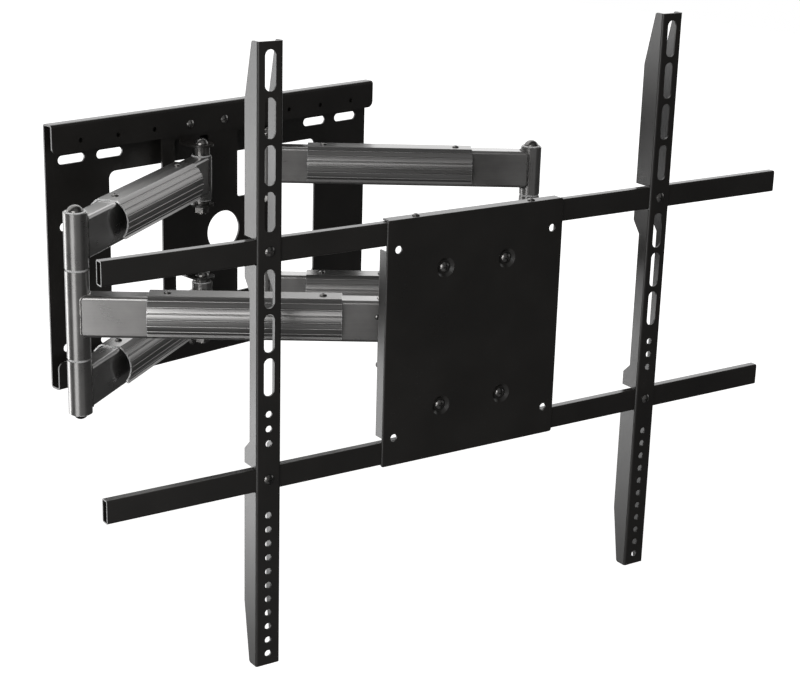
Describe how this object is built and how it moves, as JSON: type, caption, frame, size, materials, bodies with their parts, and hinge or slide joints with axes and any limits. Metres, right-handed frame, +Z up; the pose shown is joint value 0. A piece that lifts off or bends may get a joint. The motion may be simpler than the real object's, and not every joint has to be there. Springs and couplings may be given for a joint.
{
  "type": "swivel tv wall mount",
  "caption": "Wall bracket for a flat television: folding jointed arms carry a swivelling, tilting plate with level bars and slotted upright rails.",
  "frame": {"origin": "centre of the wall plate's back face, where it meets the wall", "axes": "+Z up, +X to the right as seen from the room, +Y into the wall, television at -Y"},
  "size_m": [0.9169, 0.6399, 0.7125],
  "materials": {
    "black_paint": "satin powder coat",
    "arm_paint": "gloss paint",
    "cover_silver": "satin anodised",
    "black_bolts": "black oxide",
    "black_screws": "black oxide",
    "zinc": "bright zinc",
    "bush": "moulded"
  },
  "bodies": {
    "wall": {"wall_plate": "black_paint", "pivot_bracket": "black_paint", "bracket_screws": "zinc", "wall_pivot_bolts": "zinc", "wall_pivot_nuts": "zinc", "wall_pivot_spacers": "zinc"},
    "left_rear": {"left_upper_rear_arm": "arm_paint", "left_lower_rear_arm": "arm_paint", "left_upper_rear_cover": "cover_silver", "left_lower_rear_cover": "cover_silver", "left_rear_cover_screws": "black_screws", "left_rear_bushes": "bush", "left_elbow_pin": "black_bolts", "left_elbow_cap": "black_bolts"},
    "left_front": {"left_front_arm": "arm_paint", "left_front_cover": "cover_silver", "left_front_cover_screws": "black_screws", "left_front_bushes": "bush"},
    "right_rear": {"right_upper_rear_arm": "arm_paint", "right_lower_rear_arm": "arm_paint", "right_upper_rear_cover": "cover_silver", "right_lower_rear_cover": "cover_silver", "right_rear_cover_screws": "black_screws", "right_rear_bushes": "bush", "right_elbow_pin": "black_bolts", "right_elbow_cap": "black_bolts"},
    "right_front": {"right_front_arm": "arm_paint", "right_front_cover": "cover_silver", "right_front_cover_screws": "black_screws", "right_front_bushes": "bush"},
    "head_bracket": {"head_bracket": "black_paint", "head_pivot_bolts": "black_bolts", "head_pivot_nuts": "zinc", "swivel_fork": "black_paint", "swivel_bolt": "black_bolts", "swivel_nut": "zinc"},
    "swivel_yoke": {"swivel_yoke": "black_paint", "tilt_bolt": "black_bolts", "tilt_nut": "zinc", "tilt_washers": "bush"},
    "head": {"tilt_bracket": "black_paint", "centre_plate": "black_paint", "plate_bolts": "black_bolts", "plate_nuts": "zinc", "bar_set_screws": "black_screws", "upper_bar": "black_paint", "lower_bar": "black_paint", "left_rail": "black_paint", "right_rail": "black_paint", "rail_screws": "black_bolts", "rail_nuts": "zinc"}
  },
  "joints": [
    {"name": "left_shoulder", "type": "hinge", "parent": "wall", "child": "left_rear", "pos_m": [-0.057, -0.04, -0.0042], "axis": [0, 0, 1], "range_deg": [-18, 40]},
    {"name": "right_shoulder", "type": "hinge", "parent": "wall", "child": "right_rear", "pos_m": [0.057, -0.04, -0.0042], "axis": [0, 0, 1], "range_deg": [-40, 18]},
    {"name": "left_elbow", "type": "hinge", "parent": "left_rear", "child": "left_front", "pos_m": [-0.37926, -0.21352, -0.0042], "axis": [0, 0, 1], "range_deg": [-80, 36]},
    {"name": "right_elbow", "type": "hinge", "parent": "right_rear", "child": "right_front", "pos_m": [0.32598, -0.28821, -0.0042], "axis": [0, 0, 1], "range_deg": [-36, 80]},
    {"name": "left_head_pivot", "type": "hinge", "parent": "left_front", "child": "head_bracket", "pos_m": [-0.11028, -0.46172, -0.0042], "axis": [0, 0, 1], "range_deg": [-18, 40]},
    {"name": "head_swivel", "type": "hinge", "parent": "head_bracket", "child": "swivel_yoke", "pos_m": [-0.05328, -0.50772, -0.0072], "axis": [0, 0, 1], "range_deg": [-9, 23]},
    {"name": "head_tilt", "type": "hinge", "parent": "swivel_yoke", "child": "head", "pos_m": [-0.0578, -0.53078, -0.0072], "axis": [0.9813, -0.1925, 0], "range_deg": [-5, 15]}
  ],
  "couplings": [
    {"joint": "right_shoulder", "follows": "left_shoulder", "ratio": -1},
    {"joint": "left_elbow", "follows": "left_shoulder", "ratio": -2},
    {"joint": "right_elbow", "follows": "left_shoulder", "ratio": 2},
    {"joint": "left_head_pivot", "follows": "left_shoulder", "ratio": 1}
  ]
}
